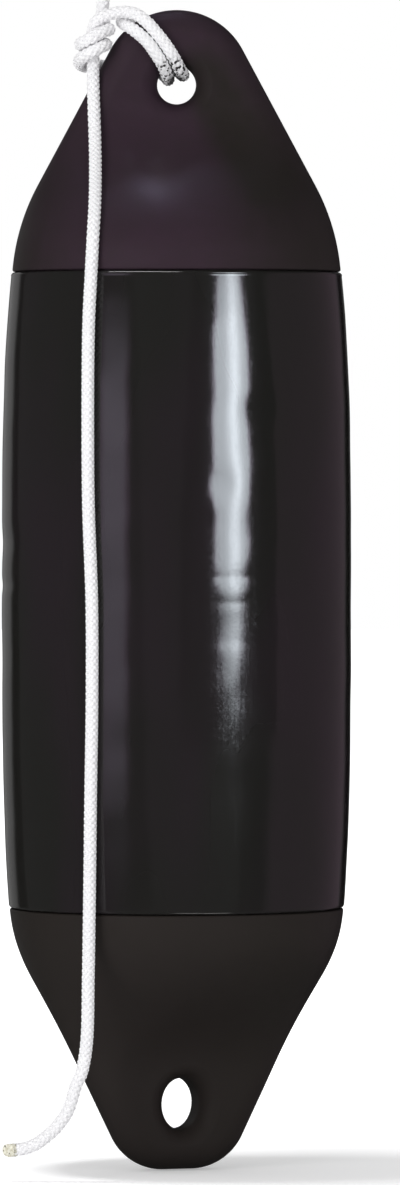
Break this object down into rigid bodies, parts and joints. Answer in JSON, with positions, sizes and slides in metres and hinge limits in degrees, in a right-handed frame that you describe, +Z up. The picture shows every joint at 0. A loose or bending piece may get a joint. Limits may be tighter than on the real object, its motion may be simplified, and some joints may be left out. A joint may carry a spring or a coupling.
{
  "type": "pneumatic boat fender",
  "caption": "Black inflatable boat fender with flat eyed ends, hung from a white braided line that is knotted through the top eye.",
  "frame": {"origin": "centre of the top eye, from which the fender hangs", "axes": "+Z up along the fender, -Y towards the picture's camera, +X to its right"},
  "size_m": [0.18, 0.18, 0.6112],
  "materials": {
    "fender_skin": "glossy black soft vinyl, blown up tight",
    "fender_end": "satin black moulded vinyl with a faint plum tint",
    "valve_nylon": "moulded nylon",
    "seal_rubber": "O-ring rubber",
    "line_braid": "white braided polyester line, 6 mm"
  },
  "bodies": {
    "fender": {"body_tube": "fender_skin", "top_end": "fender_end", "bottom_end": "fender_end", "valve_insert": "valve_nylon", "valve_seal": "seal_rubber", "rope_hitch": "line_braid", "rope_fall": "line_braid"},
    "plug": {"valve_plug": "valve_nylon"}
  },
  "joints": [
    {"name": "valve_plug_unscrew", "type": "slide", "parent": "fender", "child": "plug", "axis": [0, 0.5927, 0.8054], "range_m": [0, 0.012]}
  ]
}
